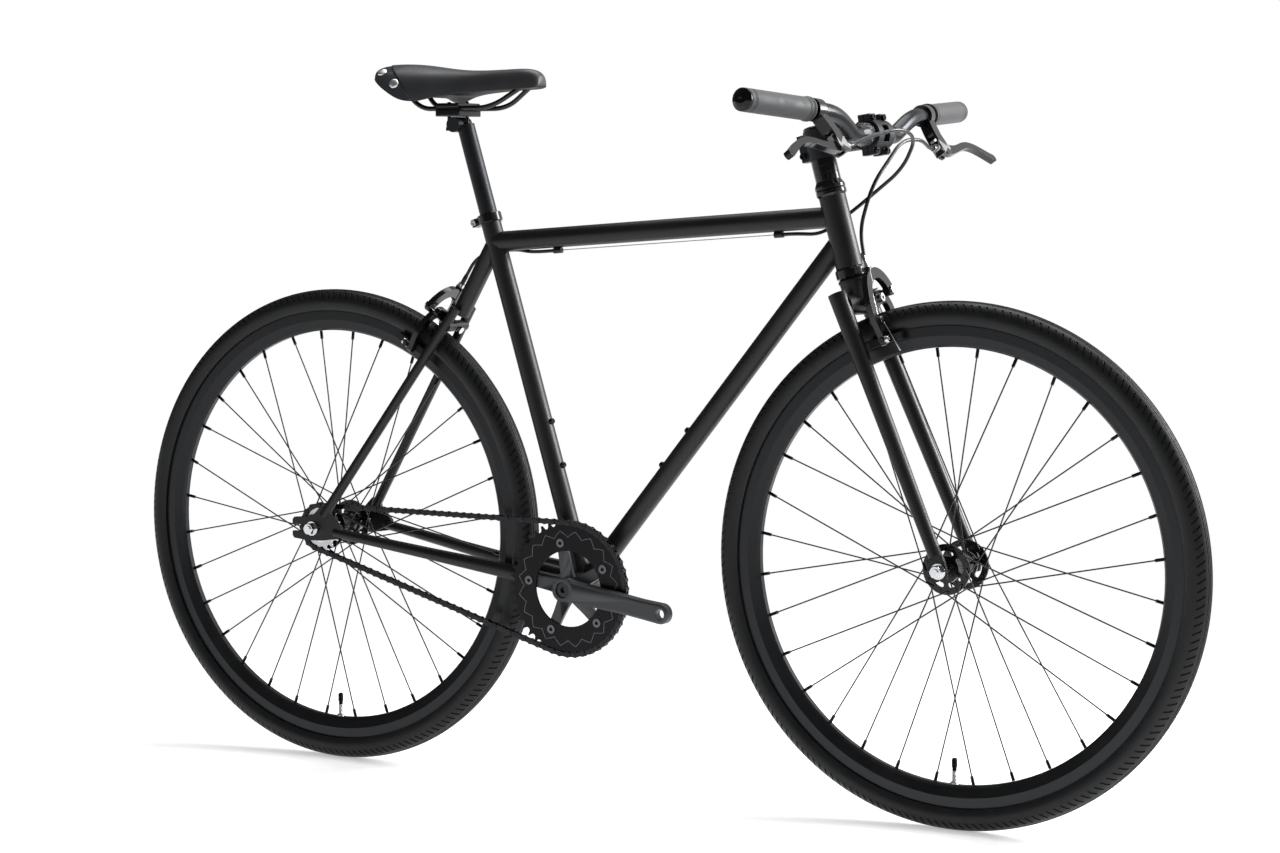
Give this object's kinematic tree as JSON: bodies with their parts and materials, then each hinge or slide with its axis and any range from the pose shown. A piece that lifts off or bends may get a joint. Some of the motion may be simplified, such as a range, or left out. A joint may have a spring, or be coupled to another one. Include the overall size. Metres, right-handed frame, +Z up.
{
  "type": "fixed gear bicycle",
  "caption": "City bicycle with a fixed rear cog, straight steel frame, straight fork, riser bar, dual pivot rim brakes and wide tyres, shown without pedals.",
  "frame": {"origin": "On the ground under the middle of the wheelbase, in the mid plane.", "axes": "+X forward, +Y to the rider's left, +Z up."},
  "size_m": [1.6978, 0.6492, 1.0238],
  "materials": {
    "frame_paint": "satin black paint",
    "black_alloy": "satin black anodised alloy",
    "crank_alloy": "charcoal satin alloy",
    "bright_steel": "bright zinc plated steel",
    "chrome_steel": "polished chrome",
    "chain_steel": "black oxide steel",
    "rim_alloy": "satin black rim",
    "spoke_steel": "dark steel",
    "tyre_rubber": "black tyre rubber",
    "grip_rubber": "dark grey rubber",
    "housing_plastic": "black cable housing",
    "saddle_cover": "charcoal synthetic leather"
  },
  "bodies": {
    "frame": {"head_tube": "frame_paint", "top_tube": "frame_paint", "down_tube": "frame_paint", "seat_tube": "frame_paint", "bottom_bracket_shell": "frame_paint", "chainstays": "frame_paint", "monostay": "frame_paint", "seatstays": "frame_paint", "rear_dropouts": "frame_paint", "headset_cups": "black_alloy", "bottom_bracket_cups": "black_alloy", "seat_clamp": "black_alloy", "frame_bolts": "bright_steel", "cable_stops": "frame_paint", "rear_brake_cable": "housing_plastic", "rear_axle": "chrome_steel", "chain": "chain_steel", "rear_housing_loop": "housing_plastic"},
    "steering": {"steerer_tube": "frame_paint", "fork_crown": "frame_paint", "fork_blades": "frame_paint", "fork_dropouts": "frame_paint", "headset_spacers": "black_alloy", "stem": "black_alloy", "stem_faceplate": "black_alloy", "steering_bolts": "bright_steel", "handlebar": "black_alloy", "grips": "grip_rubber", "lever_brackets": "black_alloy", "front_brake_cable": "housing_plastic", "front_axle": "chrome_steel"},
    "front_wheel": {"front_tyre": "tyre_rubber", "front_rim": "rim_alloy", "front_spokes": "spoke_steel", "front_hub": "black_alloy", "front_valve": "bright_steel"},
    "rear_wheel": {"rear_tyre": "tyre_rubber", "rear_rim": "rim_alloy", "rear_spokes": "spoke_steel", "rear_hub": "black_alloy", "rear_valve": "bright_steel", "fixed_cog": "bright_steel", "lockring": "bright_steel"},
    "crank": {"right_crank_arm": "crank_alloy", "left_crank_arm": "crank_alloy", "chainring": "black_alloy", "chainring_bolts": "bright_steel", "bottom_bracket_spindle": "bright_steel"},
    "seat": {"seatpost": "black_alloy", "saddle_clamp": "black_alloy", "saddle": "saddle_cover", "saddle_rails": "black_alloy", "saddle_rivets": "bright_steel"},
    "left_lever": {"left_brake_lever": "black_alloy"},
    "right_lever": {"right_brake_lever": "black_alloy"},
    "front_left_arm": {"front_left_brake_arm": "black_alloy"},
    "front_right_arm": {"front_right_brake_arm": "black_alloy"},
    "rear_left_arm": {"rear_left_brake_arm": "black_alloy"},
    "rear_right_arm": {"rear_right_brake_arm": "black_alloy"}
  },
  "joints": [
    {"name": "steering_turn", "type": "hinge", "parent": "frame", "child": "steering", "pos_m": [0.343, 0, 0.73924], "axis": [-0.2672, 0, 0.9636], "range_deg": [-70, 70], "deforming": ["rear_housing_loop"]},
    {"name": "front_wheel_spin", "type": "hinge", "parent": "steering", "child": "front_wheel", "pos_m": [0.5, 0, 0.349], "axis": [0, 1, 0], "continuous": true},
    {"name": "rear_wheel_spin", "type": "hinge", "parent": "frame", "child": "rear_wheel", "pos_m": [-0.5, 0, 0.349], "axis": [0, 1, 0], "continuous": true, "deforming": ["chain"]},
    {"name": "crank_spin", "type": "hinge", "parent": "frame", "child": "crank", "pos_m": [-0.07062, 0, 0.2865], "axis": [0, 1, 0], "continuous": true},
    {"name": "seatpost_height", "type": "slide", "parent": "frame", "child": "seat", "axis": [-0.2924, 0, 0.9563], "range_m": [-0.08, 0.06]},
    {"name": "left_lever_pull", "type": "hinge", "parent": "steering", "child": "left_lever", "pos_m": [0.40544, 0.163, 0.89457], "axis": [0.829, 0, 0.5592], "range_deg": [0, 14], "stiffness_Nm_per_rad": 3, "springref_deg": -17.19},
    {"name": "right_lever_pull", "type": "hinge", "parent": "steering", "child": "right_lever", "pos_m": [0.40544, -0.163, 0.89457], "axis": [-0.829, 0, -0.5592], "range_deg": [0, 14], "stiffness_Nm_per_rad": 3, "springref_deg": -17.19},
    {"name": "front_left_arm_turn", "type": "hinge", "parent": "steering", "child": "front_left_arm", "pos_m": [0.37275, 0, 0.6956], "axis": [-0.9636, 0, -0.2672], "range_deg": [-0.05, 1.54]},
    {"name": "front_right_arm_turn", "type": "hinge", "parent": "steering", "child": "front_right_arm", "pos_m": [0.37034, 0.023, 0.70427], "axis": [0.9636, 0, 0.2672], "range_deg": [-0.05, 1.34]},
    {"name": "rear_right_arm_turn", "type": "hinge", "parent": "frame", "child": "rear_right_arm", "pos_m": [-0.30457, 0, 0.65835], "axis": [0.8348, 0, -0.5505], "range_deg": [-0.05, 1.57]},
    {"name": "rear_left_arm_turn", "type": "hinge", "parent": "frame", "child": "rear_left_arm", "pos_m": [-0.29961, -0.023, 0.66586], "axis": [-0.8348, 0, 0.5505], "range_deg": [-0.05, 1.36]}
  ],
  "couplings": [
    {"joint": "crank_spin", "follows": "rear_wheel_spin", "ratio": 0.34783},
    {"joint": "front_left_arm_turn", "follows": "left_lever_pull", "ratio": 0.10643},
    {"joint": "front_right_arm_turn", "follows": "left_lever_pull", "ratio": 0.09207},
    {"joint": "rear_right_arm_turn", "follows": "right_lever_pull", "ratio": 0.10857},
    {"joint": "rear_left_arm_turn", "follows": "right_lever_pull", "ratio": 0.09371}
  ]
}
